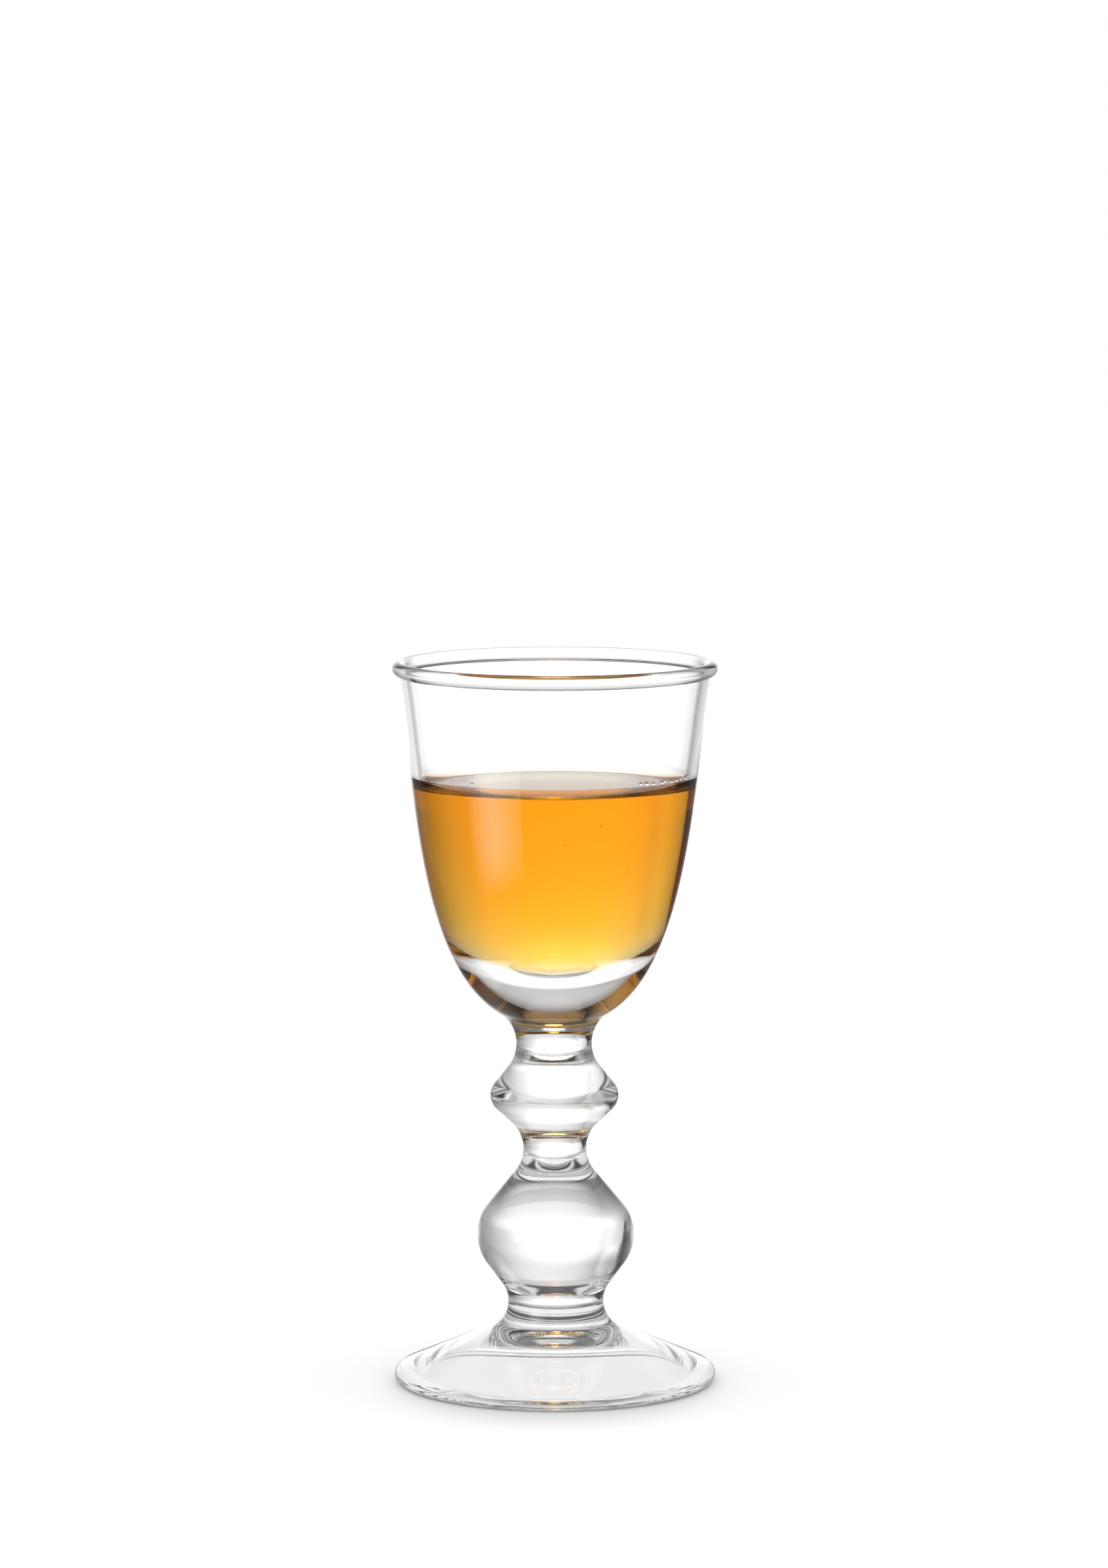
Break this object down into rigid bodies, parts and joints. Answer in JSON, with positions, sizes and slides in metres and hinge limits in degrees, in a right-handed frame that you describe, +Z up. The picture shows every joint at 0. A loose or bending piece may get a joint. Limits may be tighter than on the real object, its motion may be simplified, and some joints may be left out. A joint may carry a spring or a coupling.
{
  "type": "sherry glass",
  "caption": "Clear hand-made sherry glass: deep bowl with a rolled rim, stem of two solid knops, coned foot, and a measure of amber sherry in the bowl.",
  "frame": {"origin": "centre of the ring that the foot stands on, on the table", "axes": "+Z up along the stem, from the foot to the rim; the glass is round about Z"},
  "size_m": [0.0644, 0.0644, 0.144],
  "materials": {
    "rim_glass": "clear, fire-polished",
    "bowl_glass": "clear, smooth",
    "stem_glass": "clear, smooth",
    "foot_glass": "clear, smooth",
    "sherry": "clear amber liquid"
  },
  "bodies": {
    "root": {"lip_bead": "rim_glass", "bowl": "bowl_glass", "upper_knop": "stem_glass", "lower_knop": "stem_glass", "foot": "foot_glass", "sherry": "sherry"}
  },
  "joints": []
}
